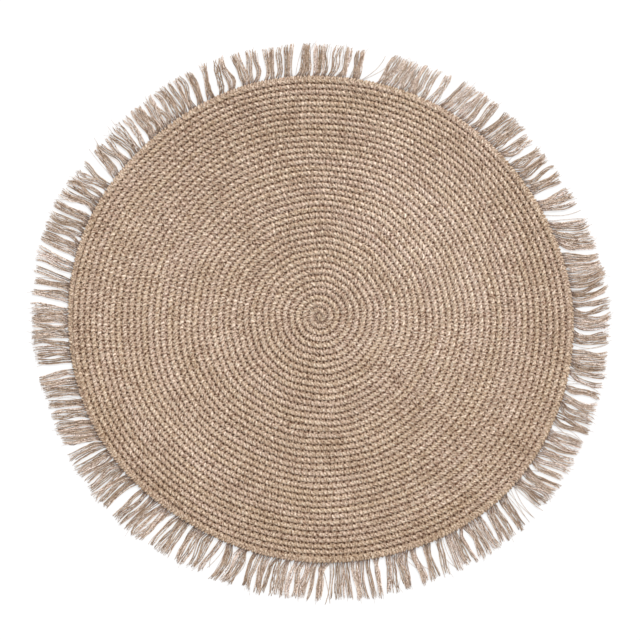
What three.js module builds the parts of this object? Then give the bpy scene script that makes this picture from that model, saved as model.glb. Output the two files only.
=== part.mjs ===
// Round rug crocheted in one spiral of single stitches, with a cut fringe looped along its rim.
// Millimetres, +Z up. The rug lies on z = 0 and its whole outline is centred on the origin.
import * as THREE from "three";

const matRadius = 495.6; // mean radius of the stitched mat, about the start of its spiral
const matThickness = 9;
const rimRounding = 3; // how far the rim rolls in, above and below
const rimSegments = 3;
const outlineSides = 240;

const seamGap = 0.3; // between the mat's rim and the loops of the fringe
const spineWidth = 5; // the row of loops that grips the rim
const rootHeight = 7;
const tipHeight = 3;
const shortestTip = 0.9; // share of the local reach at which the shortest bunch is cut

// The slow swells that pull the worked circle out of round.
const outlineSwells = [
  { lobes: 1, swell: 8.7, bearing: -65.7 },
  { lobes: 2, swell: 10.8, bearing: -15 },
  { lobes: 3, swell: 3.5, bearing: -39.1 },
  { lobes: 7, swell: 1.4, bearing: 5.7 },
];

// How far the tips of the fringe reach out from the rim: bearing in degrees, then reach.
const fringeReach = [
  [0, 74], [20, 72], [35, 66], [50, 70], [65, 61], [80, 58], [95, 62], [110, 65], [125, 67],
  [142, 67], [162, 77], [182, 73], [200, 68], [212, 74], [226, 81], [245, 77], [264, 75],
  [280, 80], [292, 75], [308, 75], [326, 73], [342, 72],
];

// Where the fringe parts into bunches: bearing and width at the rim, then at the tips.
const partings = [
  [3, 5, 4.2, 14], [6.2, 3, 7.6, 6], [9.4, 2, 10, 4], [15.3, 12, 12.8, 2], [23.4, 22, 22.4, 26],
  [28.7, 10, 28.4, 14], [33.3, 2, 33.4, 6], [39.2, 10, 38.6, 16], [42.4, 5, 41.8, 12],
  [45.8, 2, 45.2, 3], [49, 3, 48.6, 6], [52.6, 2, 52.2, 4], [56.2, 14, 54.5, 4], [60.7, 12, 59.8, 22],
  [63.4, 10, 62.9, 14], [65.6, 5, 65, 8], [68.6, 2, 67.6, 3], [71.8, 2, 70.4, 4], [78.1, 33, 77, 58],
  [83, 5, 82.3, 9], [85.9, 9, 84.7, 4], [88, 7, 87.6, 16], [91.8, 5, 91.5, 8], [95.6, 10, 94.6, 20],
  [98.3, 4, 97.6, 5], [100.2, 4, 99.6, 6], [103.4, 16, 102.8, 12], [106.3, 2, 106, 14],
  [108.9, 16, 109.5, 18], [112, 10, 111.6, 2], [114.8, 16, 113.2, 2], [117.8, 3, 116.8, 14],
  [120, 5, 119.6, 8], [122.2, 3, 122.2, 6], [124.3, 4, 124.6, 2], [127, 2, 127, 2], [130, 2, 129.6, 4],
  [134.4, 12, 133.2, 12], [136.6, 3, 135.5, 5], [139.4, 4, 138.6, 3], [141.2, 4, 140.5, 14],
  [143.3, 10, 142.2, 2], [146.6, 8, 144.7, 20], [149.8, 10, 150, 14], [153, 2, 152.8, 4],
  [155.8, 10, 155.9, 5], [158.3, 4, 157.6, 5], [161.8, 8, 161.3, 6], [164, 2, 163.2, 3],
  [166.9, 14, 165.2, 8], [170.3, 14, 168.6, 6], [172.2, 4, 171.3, 9], [174.4, 3, 174, 5],
  [177, 8, 176.2, 10], [179.6, 2, 179.5, 4], [182.6, 4, 182.2, 6], [186.5, 7, 186, 2],
  [190.7, 9, 190.6, 13], [193.2, 10, 192.6, 2], [195.6, 2, 194.8, 3], [198.2, 9, 196.8, 3],
  [201, 4, 199.3, 6], [204.4, 2, 202.8, 3], [209.4, 4, 207.5, 24], [212.6, 4, 212.6, 3],
  [215.8, 2, 215.8, 3], [218.6, 3, 218.9, 5], [220.6, 2, 220.7, 4], [223.4, 12, 222.9, 13],
  [226, 7, 225.8, 7], [229.2, 2, 228.4, 4], [233.6, 12, 232.4, 22], [238.4, 11, 238, 11],
  [241.8, 3, 241.7, 5], [245, 10, 243.8, 3], [247.2, 9, 246, 14], [250, 10, 248.6, 3],
  [253.6, 9, 252.9, 14], [256.4, 3, 256.1, 9], [258.6, 6, 257.9, 2], [261.2, 5, 260.6, 7],
  [263.8, 8, 262.8, 6], [266.4, 2, 265, 4], [269.6, 2, 268.3, 14], [272.4, 14, 271.6, 26],
  [276.8, 7, 277.2, 14], [279.2, 2, 279.6, 4], [281.6, 6, 281.6, 2], [284.4, 12, 283.4, 6],
  [287.2, 2, 287, 2], [290.8, 3, 290.2, 20], [293.2, 12, 292.6, 2], [296.6, 10, 295.6, 12],
  [299, 10, 298.2, 6], [302.4, 3, 302, 4], [305.6, 2, 305.2, 3], [309.6, 12, 308.6, 2],
  [313.6, 12, 312.4, 8], [317.6, 20, 317.6, 32], [321.4, 2, 322.6, 3], [324.6, 8, 325.6, 10],
  [327, 2, 328.4, 3], [329.8, 6, 331.4, 4], [334.6, 14, 334.9, 10], [338.2, 9, 337.6, 8],
  [341.6, 3, 341.8, 8], [345.6, 17, 345.3, 12], [348.4, 3, 348.6, 5], [353, 14, 353.6, 14],
  [357.2, 4, 358, 8],
];

const radians = THREE.MathUtils.degToRad;
const between = (low, high, share) => low + (high - low) * share;

// A fixed scatter from 0 to 1: the same number always gives the same value.
function scatter(number) {
  const wave = Math.sin(number * 12.9898) * 43758.5453;
  return wave - Math.floor(wave);
}

// Radius of the mat's rim at a bearing, in degrees anticlockwise from +X.
function rimRadius(bearing) {
  return outlineSwells.reduce(
    (radius, row) => radius + row.swell * Math.cos(radians(row.lobes * (bearing - row.bearing))),
    matRadius,
  );
}

// Reach of the fringe at a bearing, eased between the rows of its table and round past 360.
function reachAt(bearing) {
  const turned = THREE.MathUtils.euclideanModulo(bearing, 360);
  const rows = [...fringeReach, [360, fringeReach[0][1]]];
  const next = rows.findIndex((row, i) => i > 0 && row[0] >= turned);
  const [from, to] = [rows[next - 1], rows[next]];
  const share = (turned - from[0]) / (to[0] - from[0]);
  return between(from[1], to[1], THREE.MathUtils.smoothstep(share, 0, 1));
}

function pointAt(bearing, radius) {
  return new THREE.Vector2(Math.cos(radians(bearing)), Math.sin(radians(bearing))).multiplyScalar(radius);
}

function rimLoop(offset) {
  return Array.from({ length: outlineSides }, (_, i) => {
    const bearing = (i * 360) / outlineSides;
    return pointAt(bearing, rimRadius(bearing) + offset);
  });
}

// The mat: one flat cloth with a soft rolled rim.
function matGeometry() {
  return new THREE.ExtrudeGeometry(new THREE.Shape(rimLoop(0)), {
    depth: matThickness - 2 * rimRounding,
    bevelEnabled: true,
    bevelThickness: rimRounding,
    bevelSize: rimRounding,
    bevelOffset: -rimRounding,
    bevelSegments: rimSegments,
  }).translate(0, 0, rimRounding);
}

// A point on one side of a parting, this far out from the rim.
function partingPoint([rootBearing, rootWidth, tipBearing, tipWidth], side, out) {
  const share = out / reachAt(tipBearing);
  const middle = between(rootBearing, tipBearing, share);
  const radius = rimRadius(middle) + out;
  const width = between(rootWidth, tipWidth, share);
  return pointAt(middle + THREE.MathUtils.radToDeg((side * width) / 2 / radius), radius);
}

// One bunch between two partings, from its root round its cut tip and back to the rim.
function bunchOutline(parting, nextParting, index) {
  const uneven = THREE.MathUtils.radToDeg((parting[3] - nextParting[3]) / 4 / matRadius);
  const middle = (parting[2] + nextParting[2]) / 2 + uneven;
  const reach = reachAt(middle);
  const cut = (salt) => reach * between(shortestTip, 1, scatter(index + salt));
  return [
    partingPoint(parting, 1, spineWidth),
    partingPoint(parting, 1, reach / 2),
    partingPoint(parting, 1, cut(600)),
    pointAt(middle, rimRadius(middle) + cut(800)),
    partingPoint(nextParting, -1, cut(1000)),
    partingPoint(nextParting, -1, reach / 2),
    partingPoint(nextParting, -1, spineWidth),
  ];
}

// The fringe: one comb of leaning bunches that sinks from the rim down to the floor.
function fringeGeometry() {
  const [first] = partings;
  const round = [...partings.slice(1), [first[0] + 360, first[1], first[2] + 360, first[3]]];
  const outline = partings.flatMap((parting, i) => bunchOutline(parting, round[i], i));
  const comb = new THREE.Shape(outline);
  comb.holes.push(new THREE.Path(rimLoop(seamGap)));
  const geometry = new THREE.ExtrudeGeometry(comb, { depth: 1, bevelEnabled: false });
  const place = geometry.attributes.position;
  for (let i = 0; i < place.count; i += 1) {
    if (place.getZ(i) > 0) place.setZ(i, bunchHeight(place.getX(i), place.getY(i)));
  }
  geometry.computeVertexNormals();
  return geometry;
}

// Height of the fringe: full at the loops, then falling away quickly towards the tips.
function bunchHeight(x, y) {
  const bearing = THREE.MathUtils.radToDeg(Math.atan2(y, x));
  const out = Math.hypot(x, y) - rimRadius(bearing);
  const share = THREE.MathUtils.clamp(out / reachAt(bearing), 0, 1);
  return between(rootHeight, tipHeight, Math.sqrt(share));
}

function piece(name, geometry, colour) {
  const finish = new THREE.MeshStandardMaterial({ color: colour, roughness: 0.95, metalness: 0 });
  const mesh = new THREE.Mesh(geometry, finish);
  mesh.name = name;
  return mesh;
}

const rug = new THREE.Group();
rug.add(piece("mat", matGeometry(), 0xb59c86));
rug.add(piece("fringe", fringeGeometry(), 0xb9a899));

const centre = new THREE.Box3().setFromObject(rug).getCenter(new THREE.Vector3());
rug.position.set(-centre.x, -centre.y, 0);

export default rug;
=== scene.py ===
# A round rug crocheted in one spiral of single stitches. Slanted wraps bind its rim, and a cut
# fringe comes out from under them.
import math

import bmesh
import bpy
import numpy as np
from mathutils import Matrix, Vector


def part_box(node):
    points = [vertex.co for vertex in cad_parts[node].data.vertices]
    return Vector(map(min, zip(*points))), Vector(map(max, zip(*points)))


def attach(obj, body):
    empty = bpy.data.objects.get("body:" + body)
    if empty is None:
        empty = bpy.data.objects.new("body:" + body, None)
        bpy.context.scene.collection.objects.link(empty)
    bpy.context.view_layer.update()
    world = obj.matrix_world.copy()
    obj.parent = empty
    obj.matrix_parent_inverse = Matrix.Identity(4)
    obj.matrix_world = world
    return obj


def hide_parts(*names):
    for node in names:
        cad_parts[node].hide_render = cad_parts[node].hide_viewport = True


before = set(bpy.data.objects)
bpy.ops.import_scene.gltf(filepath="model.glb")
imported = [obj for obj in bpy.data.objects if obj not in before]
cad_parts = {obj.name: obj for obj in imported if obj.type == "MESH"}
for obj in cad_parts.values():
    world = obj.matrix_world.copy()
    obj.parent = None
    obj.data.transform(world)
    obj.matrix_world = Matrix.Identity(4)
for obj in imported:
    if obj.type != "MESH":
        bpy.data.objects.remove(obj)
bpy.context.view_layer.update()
mm = 0.001
fullTurn = 2 * math.pi
halfDegrees = np.linspace(0, fullTurn, 721)

# The mat's outline: a circle pulled out of round by a few slow swells. Each has a number of lobes,
# a depth, and the bearing of its peak in degrees.
outline = {
    "meanRadius": 495.6 * mm,
    "swells": [
        (1, 8.7 * mm, -65.7),
        (2, 10.8 * mm, -15.0),
        (3, 3.5 * mm, -39.1),
        (7, 1.4 * mm, 5.7),
    ],
}

# The spiral that the stitches follow, from the starting ring out to the wraps.
spiral = {
    "turns": 39,
    "startBearing": math.radians(205),
    "startHole": 2.5 * mm,
    "firstRise": 0.4,  # rounds worked up before the spiral sets off
    "runOut": 0.17,  # turns over which the last round tapers away
    "wrapRoom": 6.0 * mm,  # left free for the wraps, inside the outline
    "easing": 0.05,  # rounds are this much deeper at the centre, and shallower at the rim
    "swellPower": 0.8,  # how fast the rounds grow round towards the centre
    "wander": 1.5 * mm,  # how far the rounds stray from a plain spiral, halfway out
    "waves": [(5, 4, 0.0, 1.0), (11, -9, 1.0, 0.7)],  # lobes, slant, start, share of the wander
}


def rimRadius(bearing):
    radius = outline["meanRadius"] + 0 * bearing
    for lobes, depth, peak in outline["swells"]:
        radius = radius + depth * np.cos(lobes * (bearing - math.radians(peak)))
    return radius


def roundsAtRim(bearing):
    turn = ((bearing - spiral["startBearing"]) / fullTurn) % 1.0
    lastStart = 1 - spiral["runOut"]
    rise = np.where(turn < lastStart, turn, lastStart * (1 - turn) / spiral["runOut"])
    return spiral["turns"] - 1 + spiral["firstRise"] + rise


def topRound(turned):  # turned counts every turn since the starting ring
    last = spiral["turns"] - spiral["runOut"]
    tapering = np.clip((spiral["turns"] - turned) / spiral["runOut"], 0, 1)
    taper = spiral["turns"] - 1 + (1 - spiral["runOut"]) * tapering
    return np.where(turned < last, turned, taper) + spiral["firstRise"]


def baseRound(turned):
    return np.maximum(turned + spiral["firstRise"] - 1, 0)


def roundRadius(rounds, bearing):
    share = np.maximum(rounds / roundsAtRim(bearing), 0)
    swell = (rimRadius(bearing) - outline["meanRadius"]) * share ** spiral["swellPower"]
    reach = outline["meanRadius"] - spiral["wrapRoom"] + swell - spiral["startHole"]
    eased = share * (1 + spiral["easing"] * (1 - share))
    loose = np.sin(math.pi * np.clip(share, 0, 1)) * spiral["wander"]
    waves = 0
    for lobes, slant, start, size in spiral["waves"]:
        waves = waves + size * np.sin(lobes * bearing + slant * share + start)
    return spiral["startHole"] + reach * eased + loose * waves


def findCentre():
    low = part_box("mat")[0]
    x = low.x - (rimRadius(halfDegrees) * np.cos(halfDegrees)).min()
    y = low.y - (rimRadius(halfDegrees) * np.sin(halfDegrees)).min()
    return np.array([x, y, 0.0])


spiralCentre = findCentre()


def scatter(number, seed=0):  # a fixed spread from 0 to 1
    turn, size = 12.9898, 43758.5453
    wave = np.sin((number + seed) * turn) * size
    return wave - np.floor(wave)


def vary(spread, number, seed=0):  # sizes about 1, from half the spread less to half more
    return 1 + spread * (scatter(number, seed) - 0.5)


def polarPoint(radius, bearing, height):
    flat = np.stack([radius * np.cos(bearing), radius * np.sin(bearing), height + 0 * radius], -1)
    return flat + spiralCentre


# ---- joined copies of small swept shapes


def sweepYarn(stations, sides, lobes=0, lay=1):  # stations are (place, width, depth) along the yarn
    places = [Vector(place) for place, width, depth in stations]
    matrices = []
    for i, (place, width, depth) in enumerate(stations):
        ahead = places[min(i + 1, len(places) - 1)] - places[max(i - 1, 0)]
        turn = ahead.to_track_quat("Z", "Y").to_matrix().to_4x4()
        matrices.append(Matrix.Translation(place) @ turn @ Matrix.Diagonal((width, depth, 1, 1)))
    shape = bmesh.new()
    around = shape.verts.layers.float.new("around")
    along = shape.verts.layers.float.new("along")
    ring = bmesh.ops.create_circle(shape, segments=sides, radius=1, matrix=matrices[0])["verts"]
    for i, corner in enumerate(ring):
        corner[around] = (i / sides + 0.5) % 1  # the map's seam is underneath
    rings = [ring]
    edges = list(shape.edges)
    length = 0
    for i in range(1, len(places)):
        grown = bmesh.ops.extrude_edge_only(shape, edges=edges)["geom"]
        ring = [part for part in grown if isinstance(part, bmesh.types.BMVert)]
        edges = [part for part in grown if isinstance(part, bmesh.types.BMEdge)]
        edges = [edge for edge in edges if all(corner in ring for corner in edge.verts)]
        bmesh.ops.transform(shape, matrix=matrices[i] @ matrices[i - 1].inverted(), verts=ring)
        length += (places[i] - places[i - 1]).length
        for corner in ring:
            corner[along] = length
        rings.append(ring)
    for place, ring in zip(places, rings):
        for corner in ring:
            swell = 1 + lobes * math.cos(2 * fullTurn * (corner[around] + corner[along] / lay))
            corner.co = place + (corner.co - place) * swell
    bmesh.ops.holes_fill(shape, edges=shape.edges, sides=sides)
    bmesh.ops.recalc_face_normals(shape, faces=shape.faces)
    return shape


def shapeArrays(shape):  # corners, loops, face starts and the yarn map of a swept shape
    around = shape.verts.layers.float["around"]
    along = shape.verts.layers.float["along"]
    shape.verts.index_update()
    corners = np.array([corner.co for corner in shape.verts])
    loops, starts, places = [], [], []
    for face in shape.faces:
        starts.append(len(loops))
        turns = [corner[around] for corner in face.verts]
        seam = len(turns) == 4 and max(turns) - min(turns) > 0.5
        for corner, turn in zip(face.verts, turns):
            loops.append(corner.index)
            places.append((corner[along], 1.0 if seam and turn < 0.5 else turn))
    shape.free()
    return corners, np.array(loops), np.array(starts), np.array(places)


def joinCopies(name, arrays, placed, shades):  # placed holds every copy's own corners
    _, loops, starts, places = arrays
    count, size = placed.shape[0], placed.shape[1]
    step = np.arange(count)[:, None]
    mesh = bpy.data.meshes.new(name)
    mesh.vertices.add(count * size)
    mesh.vertices.foreach_set("co", placed.astype(np.float32).ravel())
    mesh.loops.add(count * len(loops))
    mesh.loops.foreach_set("vertex_index", (loops + step * size).astype(np.int32).ravel())
    mesh.polygons.add(count * len(starts))
    mesh.polygons.foreach_set("loop_start", (starts + step * len(loops)).astype(np.int32).ravel())
    mesh.update(calc_edges=True)
    mesh.shade_smooth()
    yarnMap = mesh.uv_layers.new(name="yarn")
    yarnMap.data.foreach_set("uv", np.tile(places, (count, 1)).astype(np.float32).ravel())
    for label, values in shades.items():
        attribute = mesh.attributes.new(label, "FLOAT", "POINT")
        attribute.data.foreach_set("value", np.repeat(values, size).astype(np.float32))
    piece = bpy.data.objects.new(name, mesh)
    bpy.context.scene.collection.objects.link(piece)
    print(f"{name}: {count} copies, {len(mesh.polygons)} faces")
    return piece


# ---- stitches

stitch = {
    "width": 13.2 * mm,
    "depth": 12.6 * mm,
    "sides": 6,
    "thickness": 6.8 * mm,
    "section": (1.1, 0.92),  # width and depth of the yarn, in shares of its thickness
    "lobes": 0.10,  # how far the two plies stand out of a round yarn
    "lay": 19 * mm,  # length of yarn in which the plies turn once
    "drift": 0.22,  # the top of a stitch lies this share of a width ahead of its hole
    "pull": 0.25,  # how strongly a stitch is drawn to the hole that it is worked in
    "footing": 0.8,  # how closely its foot keeps to that hole
    "sharedStep": 0.3,  # widths between two stitches in one hole
    "wobble": 0.5 * mm,
    "widthSpread": 0.08,
    "heightSpread": 0.12,
    "settled": 2.2,  # turns after which each stitch has a hole of its own to go in
    "evenFrom": 1.3,  # turns between which gaps are drawn even, and turns over which that fades
    "evenTo": 8,
    "evenFade": 3,
    "evenShare": 0.25,
    "evenPasses": 6,
    "run": 7,  # stitches over which the yarn keeps one colour
    "loop": [  # out to the side in widths, up the round in rounds, height, share of thickness
        (-0.20, -0.14, 4.0 * mm, 0.66),
        (-0.26, 0.05, 3.8 * mm, 0.74),
        (-0.29, 0.22, 3.2 * mm, 0.80),
        (-0.37, 0.38, 3.6 * mm, 0.88),
        (-0.45, 0.57, 5.1 * mm, 1.08),
        (-0.25, 0.69, 5.6 * mm, 1.28),
        (0.05, 0.73, 5.7 * mm, 1.30),
        (0.36, 0.73, 5.5 * mm, 1.22),
        (0.38, 0.49, 4.0 * mm, 0.92),
        (0.28, 0.28, 3.1 * mm, 0.82),
        (0.24, 0.08, 3.7 * mm, 0.76),
        (0.20, -0.14, 4.0 * mm, 0.66),
    ],
    "knot": [(35, 1.5 * mm, 0.62), (215, 2.5 * mm, 0.55)],  # bearing, distance out, size
    "knotMiddle": 0.7,  # place of a knot's middle, up the stitch
    "knotHeight": 0.9,
    "bands": [  # the pieces that the spiral is cut into, and the turn at which each ends
        ("stitches_centre", 20),
        ("stitches_middle", 28),
        ("stitches_outer", 34.5),
        ("stitches_rim", 60),
    ],
}


def stitchShape():
    stations = []
    for side, up, height, share in stitch["loop"]:
        half = share * stitch["thickness"] / 2
        place = (side * stitch["width"], up * stitch["depth"], height)
        stations.append((place, *(part * half for part in stitch["section"])))
    return shapeArrays(sweepYarn(stations, stitch["sides"], stitch["lobes"], stitch["lay"]))


def layStitches():  # turned at the top of every stitch, and at the hole it is worked in
    tops, feet = [], []
    turned, parent, shared = 0.0, 0, 0
    while turned < spiral["turns"]:
        radius = float(roundRadius(topRound(turned), spiral["startBearing"] + turned * fullTurn))
        width = stitch["width"] * vary(stitch["widthSpread"], len(tops)) / (fullTurn * radius)
        turned += width
        drift = stitch["drift"] * width
        foot = turned - drift
        if turned > stitch["settled"]:
            while shared == 2 or tops[parent] + 1 + drift - turned < -width / 2:
                parent, shared = parent + 1, 0
            shared += 1
            hole = tops[parent] + 1 + stitch["sharedStep"] * (shared - 1) * width
            turned += stitch["pull"] * (hole + drift - turned)
            foot = turned - drift + stitch["footing"] * (hole + drift - turned)
        tops.append(turned)
        feet.append(foot)
    return np.array(tops), np.array(feet)


def evenGaps(tops, feet):  # near the centre a wide gap would show as a line through the rounds
    near = np.clip((stitch["evenTo"] - tops[1:-1]) / stitch["evenFade"], 0, 1)
    near = stitch["evenShare"] * near * np.clip(tops[1:-1] - stitch["evenFrom"], 0, 1)
    for _ in range(stitch["evenPasses"]):
        shift = near * (tops[:-2] + tops[2:] - 2 * tops[1:-1])
        tops[1:-1] += shift
        feet[1:-1] += shift
    return tops, feet


def placeStitches(corners, tops, feet):
    width = np.gradient(tops)
    side = corners[:, 0] / stitch["width"]
    up = corners[:, 1] / stitch["depth"]
    turned = feet[:, None] + (tops - feet)[:, None] * up + side * width[:, None]
    inner, outer = baseRound(turned), topRound(turned)
    bearing = spiral["startBearing"] + turned * fullTurn
    number = np.arange(len(tops))[:, None]
    wobble = stitch["wobble"] * (2 * scatter(number, 0.8) - 1)
    radius = roundRadius(inner + up * (outer - inner), bearing) + wobble
    height = corners[:, 2] * vary(stitch["heightSpread"], number, 0.5)
    return polarPoint(radius, bearing, height)


patchesAndLight = {
    "patches": [  # bearing, distance out, spread, and how much paler or darker the colour is painted there
        # The first patch is a painted pool of light, on the side towards the lamp.
        (45, 280 * mm, 120 * mm, 0.2),
        (210, 230 * mm, 90 * mm, 0.04),
        (155, 330 * mm, 70 * mm, 0.05),
        (90, 350 * mm, 70 * mm, -0.04),
        (118, 420 * mm, 70 * mm, -0.06),
        (0, 270 * mm, 80 * mm, 0.09),
        (305, 330 * mm, 90 * mm, -0.07),
        (95, 190 * mm, 45 * mm, -0.05),
        (262, 330 * mm, 100 * mm, -0.07),
    ],
    # Painted shade along the rim: a band that darkens towards the edge, deepest on the side away from
    # the lamp.
    "rimBand": 90 * mm,
    "rimDepth": 0.16,
    "rimEven": 0.55,  # share of the rim's darkening that is the same all round
    "rimBearing": math.radians(268),  # the side where the painted shade along the rim is deepest, away from the lamp
}


def patchesAndLightAt(places):  # how much paler or darker the colour is painted at each place on the mat, with a painted pool of light and painted shade along the rim
    flat = places[:, :2] - spiralCentre[:2]
    level = np.zeros(len(places))
    for bearing, distance, spread, depth in patchesAndLight["patches"]:
        turn = math.radians(bearing)
        away = flat - distance * np.array([math.cos(turn), math.sin(turn)])
        level += depth * np.exp(-(away**2).sum(1) / (2 * spread**2))
    bearing = np.arctan2(flat[:, 1], flat[:, 0])
    # painted shade along the rim, deepest on the side away from the lamp
    inward = rimRadius(bearing) - np.linalg.norm(flat, axis=1)
    near = np.clip(1 - inward / patchesAndLight["rimBand"], 0, 1)
    side = patchesAndLight["rimEven"] + (1 - patchesAndLight["rimEven"]) * np.cos(bearing - patchesAndLight["rimBearing"])
    return level - patchesAndLight["rimDepth"] * near * side


def yarnRuns(count, run):  # a slow drift from 0 to 1 along the yarn, as one batch follows another
    marks = np.arange(count) / run
    before = np.floor(marks)
    share = marks - before
    eased = share * share * (3 - 2 * share)
    return scatter(before, 0.37) * (1 - eased) + scatter(before + 1, 0.37) * eased


def placeKnot(corners):  # the first loops, drawn tight over the start of the spiral
    knots = []
    for bearing, away, size in stitch["knot"]:
        turn = math.radians(bearing)
        across = corners[:, 0] * size
        out = (corners[:, 1] - stitch["knotMiddle"] * stitch["depth"]) * size + away
        x = out * math.cos(turn) - across * math.sin(turn)
        y = out * math.sin(turn) + across * math.cos(turn)
        knots.append(np.stack([x, y, corners[:, 2] * stitch["knotHeight"]], -1) + spiralCentre)
    return np.array(knots)


def makeStitches():
    arrays = stitchShape()
    tops, feet = evenGaps(*layStitches())
    placed = np.concatenate([placeKnot(arrays[0]), placeStitches(arrays[0], tops, feet)])
    count = len(placed)
    turned = np.concatenate([np.zeros(len(stitch["knot"])), tops])
    tone = scatter(np.arange(count), 0.25)
    warmth = yarnRuns(count, stitch["run"])
    patchedAndLit = patchesAndLightAt(placed.mean(1))
    pieces = []
    start = 0
    for name, lastTurn in stitch["bands"]:
        stop = int(np.searchsorted(turned, lastTurn))
        shades = {"tone": tone[start:stop], "warmth": warmth[start:stop], "patchedAndLit": patchedAndLit[start:stop]}
        pieces.append(joinCopies(name, arrays, placed[start:stop], shades))
        start = stop
    return pieces


stitches = makeStitches()

# ---- slanted wraps of yarn that bind the rim

wrap = {
    "pitch": 7.4 * mm,
    "slant": 7.5 * mm,  # the outer end lies this far clockwise of the inner one
    "sides": 6,
    "thickness": 6.2 * mm,
    "jog": 0.25,  # how unevenly the wraps follow each other, in shares of the pitch
    "spread": 0.16,
    "inward": (0.88, 1.22),  # least and most share of the route's way in from the rim
    "run": 9,
    "route": [  # out from the rim, share of the slant, height, share of thickness
        (-8.8 * mm, 0.0, 5.2 * mm, 0.75),
        (-6.8 * mm, 0.1, 5.5 * mm, 0.95),
        (-4.9 * mm, 0.35, 6.0 * mm, 1.05),
        (-2.9 * mm, 0.65, 5.6 * mm, 1.05),
        (-1.4 * mm, 0.9, 4.4 * mm, 0.95),
        (-0.8 * mm, 1.0, 2.8 * mm, 0.75),
    ],
}


def makeWraps():
    stations = []
    for out, share, height, size in wrap["route"]:
        half = size * wrap["thickness"] / 2
        stations.append(((out, -share * wrap["slant"], height), half, half))
    arrays = shapeArrays(sweepYarn(stations, wrap["sides"], stitch["lobes"], stitch["lay"]))
    count = round(fullTurn * outline["meanRadius"] / wrap["pitch"])
    number = np.arange(count)[:, None]
    jog = wrap["jog"] * (scatter(number, 0.4) - 0.5)
    corners = arrays[0] * vary(wrap["spread"], number, 0.7)[..., None]
    bearing = (number + jog) / count * fullTurn + corners[..., 1] / outline["meanRadius"]
    least, most = wrap["inward"]
    inward = least + (most - least) * scatter(number, 0.2)
    radius = rimRadius(bearing) + corners[..., 0] * inward
    placed = polarPoint(radius, bearing, corners[..., 2])
    shades = {
        "tone": scatter(np.arange(count), 0.1),
        "warmth": yarnRuns(count, wrap["run"]),
        "patchedAndLit": patchesAndLightAt(placed.mean(1)),
    }
    return joinCopies("rim_wraps", arrays, placed, shades)


rimWraps = makeWraps()

# ---- a sheet under the stitches that stands for the yarn lower down, painted dark brown for the shade between the stitches

ground = {
    "top": 2.9 * mm,
    "bottom": 0.2 * mm,
    "rings": 30,
    "sides": 120,
    "inset": 3 * mm,  # its edge stays this far inside the rim
}


def makeGround():
    cloth = bmesh.new()
    bmesh.ops.create_circle(cloth, segments=ground["sides"], radius=1)
    edges = list(cloth.edges)
    shares = np.linspace(1, 0, ground["rings"], endpoint=False)
    for before, share in zip(shares, shares[1:]):
        grown = bmesh.ops.extrude_edge_only(cloth, edges=edges)["geom"]
        ring = [part for part in grown if isinstance(part, bmesh.types.BMVert)]
        edges = [part for part in grown if isinstance(part, bmesh.types.BMEdge)]
        edges = [edge for edge in edges if all(corner in ring for corner in edge.verts)]
        bmesh.ops.scale(cloth, vec=(share / before, share / before, 1), verts=ring)
    middle = bmesh.ops.edgeloop_fill(cloth, edges=edges)["faces"]
    bmesh.ops.poke(cloth, faces=middle)
    for corner in cloth.verts:
        share = corner.co.length
        bearing = math.atan2(corner.co.y, corner.co.x)
        radius = share * (rimRadius(bearing) - ground["inset"])
        corner.co = Vector(polarPoint(np.array(radius), bearing, ground["top"]))
    everything = list(cloth.verts) + list(cloth.edges) + list(cloth.faces)
    under = bmesh.ops.duplicate(cloth, geom=everything)["geom"]
    for corner in [part for part in under if isinstance(part, bmesh.types.BMVert)]:
        corner.co.z = ground["bottom"]
    rims = [edge for edge in cloth.edges if edge.is_boundary]
    bmesh.ops.bridge_loops(cloth, edges=rims)
    bmesh.ops.recalc_face_normals(cloth, faces=cloth.faces)
    mesh = bpy.data.meshes.new("shaded_under_sheet")
    cloth.to_mesh(mesh)
    cloth.free()
    mesh.shade_smooth()
    piece = bpy.data.objects.new("shaded_under_sheet", mesh)
    bpy.context.scene.collection.objects.link(piece)
    print(f"ground cloth: {len(mesh.polygons)} faces")
    return piece


shadedUnderSheet = makeGround()

# ---- fringe

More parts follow.
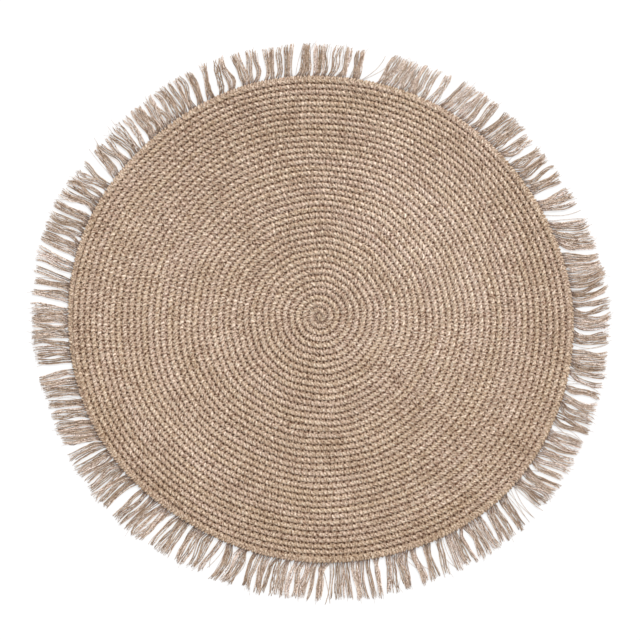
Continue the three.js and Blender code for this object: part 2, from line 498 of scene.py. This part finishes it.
# In the rows below bearings and leans are in degrees, and lengths are in millimetres.
fringe = {
    "sides": 5,
    "rings": 9,
    "ringStep": 8 * mm,  # length of yarn between two rings, before a strand is laid
    "thickness": 1.6 * mm,
    "tipShare": 0.75,  # thickness at the tip, as a share of the rest
    "start": -5 * mm,  # where a strand leaves the rim, measured out from its edge
    "rootHeight": 2.6 * mm,
    "rise": 0.3,  # how steeply strands may climb above their roots
    "floorGap": 0.05 * mm,
    "looseDrop": 0.4,  # share of their height that the loose strands lose on the way out
    "looseTone": 0.35,
    "seed": 7,
    "reach": [  # bearing, and how far the tips reach out from the rim there
        (0, 74), (20, 72), (35, 67), (50, 72), (65, 63), (80, 60), (95, 65), (110, 69), (125, 70),
        (142, 69), (162, 78), (182, 73), (200, 69), (212, 76), (226, 83), (245, 79), (264, 76),
        (280, 80), (292, 75), (308, 75), (326, 73), (342, 72), (360, 74),
    ],
    "partings": [  # bearing and width at the rim, then at the tips
        (3, 5, 4.2, 14), (6.2, 3, 7.6, 6), (9.4, 2, 10, 4), (15.3, 12, 12.8, 2), (23.4, 22, 22.4, 26),
        (28.7, 10, 28.4, 14), (33.3, 2, 33.4, 6), (39.2, 10, 38.6, 16), (42.4, 5, 41.8, 12),
        (45.8, 2, 45.2, 3), (49, 3, 48.6, 6), (52.6, 2, 52.2, 4), (56.2, 14, 54.5, 4),
        (60.7, 12, 59.8, 22), (63.4, 10, 62.9, 14), (65.6, 5, 65, 8), (68.6, 2, 67.6, 3),
        (71.8, 2, 70.4, 4), (78.1, 33, 77, 58), (83, 5, 82.3, 9), (85.9, 9, 84.7, 4),
        (88, 7, 87.6, 16), (91.8, 5, 91.5, 8), (95.6, 10, 94.6, 20), (98.3, 4, 97.6, 5),
        (100.2, 4, 99.6, 6), (103.4, 16, 102.8, 12), (106.3, 2, 106, 14), (108.9, 16, 109.5, 18),
        (112, 10, 111.6, 2), (114.8, 16, 113.2, 2), (117.8, 3, 116.8, 14), (120, 5, 119.6, 8),
        (122.2, 3, 122.2, 6), (124.3, 4, 124.6, 2), (127, 2, 127, 2), (130, 2, 129.6, 4),
        (134.4, 12, 133.2, 12), (136.6, 3, 135.5, 5), (139.4, 4, 138.6, 3), (141.2, 4, 140.5, 14),
        (143.3, 10, 142.2, 2), (146.6, 8, 144.7, 20), (149.8, 10, 150, 14), (153, 2, 152.8, 4),
        (155.8, 10, 155.9, 5), (158.3, 4, 157.6, 5), (161.8, 8, 161.3, 6), (164, 2, 163.2, 3),
        (166.9, 14, 165.2, 8), (170.3, 14, 168.6, 6), (172.2, 4, 171.3, 9), (174.4, 3, 174, 5),
        (177, 8, 176.2, 10), (179.6, 2, 179.5, 4), (182.6, 4, 182.2, 6), (186.5, 7, 186, 2),
        (190.7, 9, 190.6, 13), (193.2, 10, 192.6, 2), (195.6, 2, 194.8, 3), (198.2, 9, 196.8, 3),
        (201, 4, 199.3, 6), (204.4, 2, 202.8, 3), (209.4, 4, 207.5, 24), (212.6, 4, 212.6, 3),
        (215.8, 2, 215.8, 3), (218.6, 3, 218.9, 5), (220.6, 2, 220.7, 4), (223.4, 12, 222.9, 13),
        (226, 7, 225.8, 7), (229.2, 2, 228.4, 4), (233.6, 12, 232.4, 22), (238.4, 11, 238, 11),
        (241.8, 3, 241.7, 5), (245, 10, 243.8, 3), (247.2, 9, 246, 14), (250, 10, 248.6, 3),
        (253.6, 9, 252.9, 14), (256.4, 3, 256.1, 9), (258.6, 6, 257.9, 2), (261.2, 5, 260.6, 7),
        (263.8, 8, 262.8, 6), (266.4, 2, 265, 4), (269.6, 2, 268.3, 14), (272.4, 14, 271.6, 26),
        (276.8, 7, 277.2, 14), (279.2, 2, 279.6, 4), (281.6, 6, 281.6, 2), (284.4, 12, 283.4, 6),
        (287.2, 2, 287, 2), (290.8, 3, 290.2, 20), (293.2, 12, 292.6, 2), (296.6, 10, 295.6, 12),
        (299, 10, 298.2, 6), (302.4, 3, 302, 4), (305.6, 2, 305.2, 3), (309.6, 12, 308.6, 2),
        (313.6, 12, 312.4, 8), (317.6, 20, 317.6, 32), (321.4, 2, 322.6, 3), (324.6, 8, 325.6, 10),
        (327, 2, 328.4, 3), (329.8, 6, 331.4, 4), (334.6, 14, 334.9, 10), (338.2, 9, 337.6, 8),
        (341.6, 3, 341.8, 8), (345.6, 17, 345.3, 12), (348.4, 3, 348.6, 5), (353, 14, 353.6, 14),
        (357.2, 4, 358, 8),
    ],
    "loose": [  # bearing, reach, lean at the rim and at the tip, share of thickness
        (79.9, 57, -50, -10, 0.6), (79.7, 56, -58, -22, 0.5), (61.2, 54, -12, 30, 0.55),
        (62.5, 54, 4, -34, 0.55), (61, 68, -32, -14, 0.7), (60.2, 66, -30, -18, 0.6),
        (59.6, 62, -20, -26, 0.6), (24.3, 70, -34, 4, 0.6), (22.6, 66, -16, -20, 0.6),
        (22.9, 68, -36, -22, 0.5), (39.3, 60, 14, -20, 0.5), (88.3, 60, -12, -4, 0.4),
        (95.6, 52, -10, -25, 0.45), (104.3, 58, -14, -6, 0.4), (133.6, 64, -8, -14, 0.5),
        (138.4, 84, -14, -10, 0.4), (139.6, 80, -8, -14, 0.4), (145.8, 84, -30, -24, 0.45),
        (146.2, 78, -12, -20, 0.4), (147.6, 70, 14, 6, 0.5), (148.3, 72, -6, 22, 0.5),
        (209.2, 64, -20, -28, 0.6), (226.2, 60, -8, 4, 0.5), (233.8, 66, -40, -6, 0.5),
        (232.9, 72, -22, -30, 0.5), (246.8, 60, -30, 24, 0.55), (247.8, 62, -2, -28, 0.55),
        (263.2, 66, 20, -30, 0.5), (269, 70, -34, -14, 0.6), (270.4, 82, 18, 6, 0.7),
        (272.7, 84, 2, -22, 0.9), (272.4, 80, 4, -18, 0.8), (277, 64, 24, 10, 0.4),
        (288.6, 62, 26, 40, 0.5), (289.4, 56, 30, 46, 0.5), (297.3, 70, -10, 30, 0.5),
        (299.2, 72, -18, 10, 0.5), (319, 76, -30, 0, 0.6), (318, 74, -26, -10, 0.5),
        (317.2, 72, -10, 4, 0.5), (316.4, 74, -4, -8, 0.5), (318.9, 78, -6, 8, 0.6),
        (323.4, 72, 34, 10, 0.6), (333.4, 70, 30, -16, 0.6), (334.3, 72, -24, 10, 0.6),
        (335.6, 70, -26, 12, 0.6), (335, 68, 20, -26, 0.5), (344.6, 66, 26, -22, 0.5),
        (346.4, 70, -20, 26, 0.5), (345.6, 70, 2, 10, 0.4), (352.4, 70, 10, 24, 0.5),
        (353.6, 66, -16, 26, 0.5),
    ],
}


def reachAt(bearing):  # bearing in degrees
    rows = np.array(fringe["reach"], float)
    turned = np.asarray(bearing) % 360
    after = np.clip(np.searchsorted(rows[:, 0], turned), 1, len(rows) - 1)
    low, high = rows[after - 1], rows[after]
    share = (turned - low[..., 0]) / (high[..., 0] - low[..., 0])
    return (low[..., 1] + (high[..., 1] - low[..., 1]) * share * share * (3 - 2 * share)) * mm


def partingEdge(parting, side, along):  # bearings of one side of a parting, from rim to tips
    rootBearing, rootWidth, tipBearing, tipWidth = parting
    middle = rootBearing + (tipBearing - rootBearing) * along
    width = (rootWidth + (tipWidth - rootWidth) * along) * mm
    reach = reachAt(tipBearing) * along
    return np.radians(middle) + side * width / 2 / (rimRadius(np.radians(middle)) + reach)


# A bunch parts into locks of strands, and chance decides how each differs from the next. A pair of
# values is the least and the most where no note says otherwise, and bows, shifts, turns, kinks,
# strays and tones have a spread about zero.
lock = {
    "width": 8.5 * mm,
    "rootShift": 0.12,  # aside, in shares of the lock's own room
    "tipShift": 0.28,
    "bow": 2.4 * mm,
    "curl": 1.6 * mm,
    "sag": 5 * mm,  # the locks on the right lie in a curve, bowed clockwise
    "sagPower": 8,
    "half": 0.46,  # share of its room that a lock fills, to either side
    "roomLimit": 1.5,  # that room counts up to this many times its width at the rim
    "fullness": (0.9, 1.25),
    "gather": (-0.35, 0.35),  # how far the strands close in towards the tips
    "cut": (0.93, 1.02),  # length, in shares of the fringe's reach
    "twist": 2.6,
    "lift": (0, 1.6 * mm),
    "hook": (3 * mm, 2.5 * mm),  # how far aside strands leave the rim, and its spread
    "hookLength": 20 * mm,
    "kink": 0.7 * mm,
    "kinkPace": (6, 14),  # in radians over the fringe's reach
    "tone": (0.5, 0.12),  # a middle tone and its spread
    "shadow": (0.38, 0.14),  # how much darker the strands underneath are painted, for the shade they lie in, and how far the side changes it
    "litSide": math.radians(50),  # the painted shade of the strands underneath is lightest on this side, towards the lamp
}
upper = {
    "count": (6, 8),
    "extra": 0.3,  # share of the locks with one more strand, that lies loose
    "loose": 0.06,  # share of the others that lie loose
    "length": (0.93, 1.03),  # in shares of the lock's own cut
    "turn": 0.4,
    "aside": 0.8 * mm,
    "stray": 5 * mm,
    "strayPower": 1.5,
    "bend": 3 * mm,
    "settle": 0.6,  # share of its lift that a lock loses towards the tips
    "body": 0.9 * mm,  # half the height that the strands of a lock wind through
    "size": (0.65, 1.0),
    "looseSize": 0.55,
    "tone": 0.26,
    "leastTone": 0.16,
}
wisp = {  # one thin strand that strays
    "share": 0.5,  # of the locks that have one
    "length": (1.0, 1.14),
    "stray": 7 * mm,
    "strayPower": 3,
    "wave": 2.5 * mm,
    "wavePace": (4, 9),
    "height": 1.5,  # in thicknesses, as for the strands underneath
    "size": 0.3,
    "tone": 0.3,
}
under = {  # thicker strands that lie in the shade of the others, painted darker for it
    "count": 3,
    "spread": 0.8,
    "length": (0.80, 0.97),
    "height": 0.6,
    "size": (1.0, 1.4),
    "tone": 0.1,
    "leastTone": 0.08,
}


def strandRoute(bearing, out, height):
    return polarPoint(rimRadius(bearing) + out, bearing, height)


def drawLock(draw, edges, number, count):  # everything that the strands of one lock share
    along = np.linspace(fringe["start"] / reachAt(edges[0][2]), 1, fringe["rings"])
    left = partingEdge(edges[0], 1, along)
    right = partingEdge(edges[1], -1, along)
    width = (right - left) * outline["meanRadius"]
    start = (number + 0.5 + draw.normal(0, lock["rootShift"])) / count
    end = start + draw.normal(0, lock["tipShift"]) / count
    sag = lock["sag"] * max(0, math.cos(left[0])) ** lock["sagPower"]
    bow, curl = draw.normal(0, lock["bow"]) - sag, draw.normal(0, lock["curl"])
    room = lock["half"] * np.clip(width, 0, lock["roomLimit"] * width[0]) / count
    depth, change = lock["shadow"]
    return {
        "along": along,
        "left": left,
        "right": right,
        "reach": float(reachAt(np.degrees(left[-1] + right[-1]) / 2)),
        "start": start,
        "end": end,
        "bow": bow,
        "curl": curl,
        "half": room * draw.uniform(*lock["fullness"]),
        "gather": draw.uniform(*lock["gather"]),
        "cut": draw.uniform(*lock["cut"]),
        "wound": draw.uniform(0, fullTurn),
        "twist": draw.normal(0, lock["twist"]),
        "lift": draw.uniform(*lock["lift"]),
        "hook": draw.normal(*lock["hook"]),
        "shadow": depth - change * math.cos(left[0] - lock["litSide"]),
        "tone": lock["tone"][0] + draw.normal(0, lock["tone"][1]),
    }


def strandLength(draw, this, length):
    return np.linspace(this["along"][0], this["cut"] * draw.uniform(*length), fringe["rings"])


def fillLock(this, far):  # how far aside the outermost strands of a lock lie
    return np.interp(far, this["along"], this["half"]) * (1 - this["gather"] * np.clip(far, 0, 1))


def layStrand(draw, this, far, aside, height):
    left = np.interp(far, this["along"], this["left"])
    right = np.interp(far, this["along"], this["right"])
    bearing = left + (right - left) * (this["start"] + (this["end"] - this["start"]) * far)
    out = far * this["reach"]
    wave = this["bow"] * np.sin(math.pi * far) + this["curl"] * np.sin(fullTurn * far)
    kink = draw.normal(0, lock["kink"])
    kink = kink * np.sin(draw.uniform(*lock["kinkPace"]) * far + draw.uniform(0, fullTurn))
    slant = this["hook"] * np.clip(1 - out / lock["hookLength"], 0, 1) ** 2
    bearing = bearing + (wave + kink + slant + aside) / (rimRadius(bearing) + out)
    highest = fringe["rootHeight"] + np.clip(out, 0, None) * fringe["rise"]
    return strandRoute(bearing, out, np.minimum(height, highest))


def layUpper(draw, this):
    strands = []
    count = int(draw.integers(*upper["count"], endpoint=True))
    for number in range(count + int(draw.random() < upper["extra"])):
        loose = number == count or draw.random() < upper["loose"]
        far = strandLength(draw, this, upper["length"])
        turned = this["wound"] + fullTurn * number / count + draw.normal(0, upper["turn"])
        turned = turned + this["twist"] * far
        aside = fillLock(this, far) * np.cos(turned) + draw.normal(0, upper["aside"])
        if loose:
            stray = draw.normal(0, upper["stray"]) * np.clip(far, 0, 1) ** upper["strayPower"]
            aside = aside * (1 - far) + stray
            aside = aside + draw.normal(0, upper["bend"]) * np.sin(math.pi * far)
        height = fringe["thickness"] + this["lift"] * (1 - upper["settle"] * far)
        height = height + upper["body"] * (1 + np.sin(turned))
        size = draw.uniform(*upper["size"]) * (upper["looseSize"] if loose else 1)
        route = layStrand(draw, this, far, aside, height)
        tone = max(upper["leastTone"], this["tone"] + draw.normal(0, upper["tone"]))
        strands.append((route, size, tone))
    return strands


def layWisp(draw, this):
    if draw.random() >= wisp["share"]:
        return []
    far = strandLength(draw, this, wisp["length"])
    stray = draw.normal(0, wisp["stray"]) * np.clip(far, 0, None) ** wisp["strayPower"]
    wave = draw.normal(0, wisp["wave"]) * np.sin(draw.uniform(*wisp["wavePace"]) * far)
    route = layStrand(draw, this, far, stray + wave, wisp["height"] * fringe["thickness"])
    return [(route, wisp["size"], wisp["tone"])]


def layUnder(draw, this):
    strands = []
    for share in np.linspace(-under["spread"], under["spread"], under["count"]):
        far = strandLength(draw, this, under["length"])
        size = draw.uniform(*under["size"])
        # painted shade: the strands underneath are coloured darker
        tone = this["tone"] - this["shadow"] + draw.normal(0, under["tone"])
        height = under["height"] * fringe["thickness"]
        route = layStrand(draw, this, far, fillLock(this, far) * share, height)
        strands.append((route, size, max(under["leastTone"], tone)))
    return strands


def layLooseStrands():  # the single strands left lying where bunches have come out
    share = np.linspace(0, 1, fringe["rings"])
    strands = []
    for bearing, reach, rootLean, tipLean, size in fringe["loose"]:
        out = fringe["start"] + (reach * mm - fringe["start"]) * share
        run = np.clip(out, 0, None)
        slopes = math.tan(math.radians(rootLean)), math.tan(math.radians(tipLean))
        across = slopes[0] * run + (slopes[1] - slopes[0]) * run * run / (2 * reach * mm)
        turn = math.radians(bearing)
        turn = turn + across / (rimRadius(turn) + out)
        height = fringe["rootHeight"] * (1 - fringe["looseDrop"] * share)
        strands.append((strandRoute(turn, out, height), size, fringe["looseTone"]))
    return strands


def layStrands():
    rows = fringe["partings"]
    root, width, tip, tipWidth = rows[0]
    following = [*rows[1:], (root + 360, width, tip + 360, tipWidth)]
    draw = np.random.default_rng(fringe["seed"])
    top, below = layLooseStrands(), []
    for edges in zip(rows, following):
        left = partingEdge(edges[0], 1, np.zeros(1))
        right = partingEdge(edges[1], -1, np.zeros(1))
        room = float((right - left)[0]) * outline["meanRadius"]
        count = max(1, round(room / lock["width"]))
        for number in range(count):
            this = drawLock(draw, edges, number, count)
            top += layUpper(draw, this) + layWisp(draw, this)
            below += layUnder(draw, this)
    return top, below


def makeStrands(name, strands):
    halves = [fringe["thickness"] / 2] * fringe["rings"]
    halves[-1] *= fringe["tipShare"]
    step = fringe["ringStep"]
    stations = [((0, 0, i * step), half, half) for i, half in enumerate(halves)]
    arrays = shapeArrays(sweepYarn(stations, fringe["sides"]))
    routes, sizes, tones = [np.array(values) for values in zip(*strands)]
    ring = np.round(arrays[0][:, 2] / step).astype(int)
    ahead = np.gradient(routes, axis=1)
    ahead /= np.linalg.norm(ahead, axis=2, keepdims=True)
    side = np.cross(ahead, [0.0, 0.0, 1.0])
    side /= np.linalg.norm(side, axis=2, keepdims=True)
    above = np.cross(side, ahead)
    section = arrays[0][:, :2] * sizes[:, None, None]
    placed = routes[:, ring] + side[:, ring] * section[..., :1] + above[:, ring] * section[..., 1:]
    placed[..., 2] = np.maximum(placed[..., 2], fringe["floorGap"])
    warmth = scatter(np.arange(len(routes)), 0.6)
    return joinCopies(name, arrays, placed, {"tone": tones, "warmth": warmth})


def makeFringe():
    top, below = layStrands()
    return [makeStrands("fringe_strands", top), makeStrands("fringe_under", below)]


fringeStrands = makeFringe()

# ---- materials


class Signal:  # a socket that can be reckoned with
    def __init__(self, board, socket):
        self.board, self.socket = board, socket

    def reckon(self, operation, *others):
        return self.board.add("Math", {"operation": operation}, dict(enumerate((self, *others))))

    def __add__(self, other):
        return self.reckon("ADD", other)

    def __sub__(self, other):
        return self.reckon("SUBTRACT", other)

    def __mul__(self, other):
        return self.reckon("MULTIPLY", other)

    def __truediv__(self, other):
        return self.reckon("DIVIDE", other)

    def __rsub__(self, other):
        return self * -1 + other

    def __rtruediv__(self, other):
        return self.reckon("POWER", -1) * other

    def __abs__(self):
        return self.reckon("ABSOLUTE")

    __radd__, __rmul__ = __add__, __mul__


class Board:  # the nodes of one material, or of the sky
    def __init__(self, owner):
        self.owner = owner
        owner.use_nodes = True
        self.tree = owner.node_tree
        self.tree.nodes.clear()

    def add(self, kind, settings, inputs, output=0):
        node = self.tree.nodes.new("ShaderNode" + kind)
        for key, value in settings.items():
            setattr(node, key, value)
        for key, value in inputs.items():
            if isinstance(value, Signal):
                self.tree.links.new(value.socket, node.inputs[key])
            else:
                node.inputs[key].default_value = value
        return Signal(self, node.outputs[output]) if node.outputs else None

    def blend(self, share, first, second, how="MIX"):
        settings = {"data_type": "RGBA", "blend_type": how}
        return self.add("Mix", settings, {0: share, 6: first, 7: second}, 2)

    def point(self, x, y, z):
        return self.add("CombineXYZ", {}, {0: x, 1: y, 2: z})

    def noise(self, place, scale, detail):
        inputs = {"Vector": place, "Scale": scale, "Detail": detail, "Roughness": 0.6}
        return self.add("TexNoise", {}, inputs, "Fac")

    def between(self, value, low, high):  # 0 below low, 1 above high
        inputs = {"Value": value, "From Min": low, "From Max": high}
        return self.add("MapRange", {}, inputs, "Result")

    def seen(self):  # 1 on the rays that reach the camera, straight or by way of something shiny
        kinds = ("Camera", "Glossy", "Transmission")
        return sum(self.add("LightPath", {}, {}, f"Is {kind} Ray") for kind in kinds)

    def finish(self, colour, roughness, height, relief):
        normal = self.add("Bump", {}, {"Strength": 1.0, "Distance": relief, "Height": height})
        inputs = {"Base Color": colour, "Roughness": roughness, "Normal": normal}
        shader = self.add("BsdfPrincipled", {}, inputs)
        self.add("OutputMaterial", {}, {"Surface": shader})
        return self.owner


def shade(*levels):  # a colour as a screen shows it
    linear = [((level / 255 + 0.055) / 1.055) ** 2.4 for level in levels]
    return (*linear, 1.0)


matYarn = {
    "plies": 2,
    "lay": 15 * mm,
    "fibres": 34,  # how many lie side by side round the yarn, and how many follow in a metre
    "fibreRun": 150,
    "fibreShift": 60,  # keeps the pattern of one copy from repeating in the next
    "flecks": 13,
    "fleckRun": 380,
    "fleckShift": 90,
    "paleFibres": (0.50, 0.72),  # noise from which fibres turn pale, and at which they are palest
    "darkFibres": (0.48, 0.28),
    "paleFlecks": (0.52, 0.68),
    "darkFlecks": (0.49, 0.33),
    "patches": 11.0,
    "patchSpread": 0.5,
    "toneSpread": 0.16,
    "groove": 0.3,  # share of the light that is left between two plies
    "groovePower": 0.5,
    "relief": 1.1 * mm,
    "raised": (0.7, 0.5, 0.5),  # parts of the relief that plies, fibres and flecks have
    "roughness": 0.9,
    "shadeHeights": (6.4 * mm, 3.6 * mm),  # painted shade in the valleys: none above the first height, deepest below the next
    # how far the colour turns to the painted shade, in the valleys
    "depthShade": 0.56,
    "rootShadeSpan": (14 * mm, 5 * mm),  # painted shade at the roots of strands: none beyond the first length along the yarn, deepest within the next
    # how far the colour turns to the painted shade at the roots
    "rootShade": 0.0,
    "warmth": (0.82, 1.25),  # in the shade blue fades faster than red, by these powers
    # the colour of the painted shade, in the valleys and at the roots of strands
    "shadeColour": shade(130, 80, 46),
    "rosy": shade(229, 197, 177),
    "golden": shade(230, 199, 169),
    "pale": shade(250, 238, 219),
    "dark": shade(104, 66, 42),
}
fringeYarn = dict(
    matYarn,
    lay=7 * mm,
    fibres=8,
    flecks=3.5,
    fleckRun=300,
    depthShade=0.0,
    # painted shade at the roots of the strands
    rootShade=0.6,
    shadeColour=shade(112, 88, 80),
    relief=0.4 * mm,
    toneSpread=1.15,
    groove=0.5,
    rosy=shade(224, 194, 176),
    golden=shade(223, 197, 171),
    pale=shade(252, 238, 224),
    dark=shade(112, 80, 62),
)


def yarnMaterial(name, look):
    board = Board(bpy.data.materials.new(name))
    place = board.add("TexCoord", {}, {}, "Object")
    yarnMap = board.add("UVMap", {"uv_map": "yarn"}, {})
    along = board.add("SeparateXYZ", {}, {0: yarnMap}, "X")
    around = board.add("SeparateXYZ", {}, {0: yarnMap}, "Y")
    tone = board.add("Attribute", {"attribute_name": "tone"}, {}, "Fac")
    warmth = board.add("Attribute", {"attribute_name": "warmth"}, {}, "Fac")
    patchedAndLit = board.add("Attribute", {"attribute_name": "patchedAndLit"}, {}, "Fac")
    helix = around + along / look["lay"]
    crest = abs(((helix + tone) * (math.pi * look["plies"])).reckon("SINE"))
    spot = board.point(helix * look["fibres"], along * look["fibreRun"], tone * look["fibreShift"])
    fibre = board.noise(spot, 1.0, 3.0)
    spot = board.point(helix * look["flecks"], along * look["fleckRun"], tone * look["fleckShift"])
    fleck = board.noise(spot, 1.0, 1.0)
    patch = board.noise(place, look["patches"], 4.0)
    body = board.blend(warmth, look["rosy"], look["golden"])
    body = board.blend(board.between(fibre, *look["paleFibres"]), body, look["pale"])
    body = board.blend(board.between(fibre, *look["darkFibres"]), body, look["dark"])
    body = board.blend(board.between(fleck, *look["paleFlecks"]), body, look["pale"])
    body = board.blend(board.between(fleck, *look["darkFlecks"]), body, look["dark"])
    # the level carries the painted light and shade of the patches and the rim, besides tone
    level = (tone - 0.5) * look["toneSpread"] + (patch - 0.5) * look["patchSpread"] + patchedAndLit + 1.0
    groove = crest.reckon("POWER", look["groovePower"])
    level = level * (groove * (1 - look["groove"]) + look["groove"])
    height = board.add("SeparateXYZ", {}, {0: place}, "Z")
    # Painted shade: lower down between the stitches the colour darkens towards the shade colour.
    body = board.blend(board.between(height, *look["shadeHeights"]) * look["depthShade"], body, look["shadeColour"])
    # Painted shade at the roots of the strands, where the rim shades them.
    root = board.between(along, *look["rootShadeSpan"])
    body = board.blend(root * look["rootShade"], body, look["shadeColour"])
    red, blue = [level.reckon("POWER", power) for power in look["warmth"]]
    body = board.blend(1.0, body, board.point(red, level, blue), "MULTIPLY")
    plies, fibres, flecks = look["raised"]
    relief = crest * plies + fibre * fibres + fleck * flecks
    return board.finish(body, look["roughness"], relief, look["relief"])


# Painted shade: the sheet's dark browns stand for the shade deep down between the stitches.
underSheetShade = {
    "rosy": shade(136, 92, 61),
    "dark": shade(92, 60, 40),
    "tufts": 160.0,
    "mottle": (0.4, 0.65),
    "roughness": 0.95,
    "relief": 1.5 * mm,
}


def underSheetShadeMaterial():
    board = Board(bpy.data.materials.new("under_sheet_painted_shade"))
    place = board.add("TexCoord", {}, {}, "Object")
    tuft = board.noise(place, underSheetShade["tufts"], 3.0)
    share = board.between(tuft, *underSheetShade["mottle"])
    body = board.blend(share, underSheetShade["dark"], underSheetShade["rosy"])
    return board.finish(body, underSheetShade["roughness"], tuft, underSheetShade["relief"])


def applyMaterials():
    mat = yarnMaterial("mat_yarn", matYarn)
    strands = yarnMaterial("fringe_yarn", fringeYarn)
    for piece in [*stitches, rimWraps]:
        piece.data.materials.append(mat)
    for piece in fringeStrands:
        piece.data.materials.append(strands)
    shadedUnderSheet.data.materials.append(underSheetShadeMaterial())


applyMaterials()

# ---- declaring the pieces

for piece in [*stitches, rimWraps, shadedUnderSheet]:
    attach(piece, "root")
for piece in fringeStrands:
    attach(piece, "root")
    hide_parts("fringe")
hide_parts("mat")
matArea = float(math.pi * (rimRadius(halfDegrees[:-1]) ** 2).mean())

# ---- floor, lamps and camera

studio = {
    "frameWidth": 1.28,  # metres across the picture
    "aim": (-2 * mm, 6 * mm),  # the place in the middle of the picture
    "lens": 85,
    "sensor": 36,
    "lampStrength": 1.75,
    "lampSpread": math.radians(20),
    "lampHeight": math.radians(48),
    "lampBearing": math.radians(68),
    "sky": 0.76,  # its light on the object, while the camera sees it white
    "floorSize": 12,
    "floorColour": (0.97, 0.97, 0.97, 1),
    "floorGlow": 0.5,  # share of the floor that is plain white however the light falls
}


def makeStudio():
    bpy.ops.mesh.primitive_plane_add(size=studio["floorSize"])
    floor = bpy.context.object
    floor.name = "floor"
    board = Board(bpy.data.materials.new("floor_white"))
    white = board.add("BsdfDiffuse", {}, {"Color": studio["floorColour"]})
    glow = board.add("Emission", {}, {"Color": (1, 1, 1, 1), "Strength": 1.0})
    both = board.add("MixShader", {}, {0: board.seen() * studio["floorGlow"], 1: white, 2: glow})
    board.add("OutputMaterial", {}, {"Surface": both})
    floor.data.materials.append(board.owner)
    board = Board(bpy.data.worlds.new("sky"))
    strength = board.seen() * (1 - studio["sky"]) + studio["sky"]
    sky = board.add("Background", {}, {"Color": (1, 1, 1, 1), "Strength": strength})
    board.add("OutputWorld", {}, {"Surface": sky})
    bpy.context.scene.world = board.owner
    window = bpy.data.lights.new("window", "SUN")
    window.energy = studio["lampStrength"]
    window.angle = studio["lampSpread"]
    lamp = bpy.data.objects.new("window", window)
    bpy.context.scene.collection.objects.link(lamp)
    level, up = math.cos(studio["lampHeight"]), math.sin(studio["lampHeight"])
    bearing = studio["lampBearing"]
    towards = Vector((level * math.cos(bearing), level * math.sin(bearing), up))
    lamp.rotation_euler = towards.to_track_quat("Z", "Y").to_euler()
    camera = bpy.data.objects.new("overhead", bpy.data.cameras.new("overhead"))
    bpy.context.scene.collection.objects.link(camera)
    camera.data.lens = studio["lens"]
    camera.data.sensor_width = studio["sensor"]
    camera.location = (*studio["aim"], studio["frameWidth"] * studio["lens"] / studio["sensor"])
    bpy.context.scene.camera = camera
    bpy.context.scene.view_settings.view_transform = "Standard"


makeStudio()
print("studio ready")
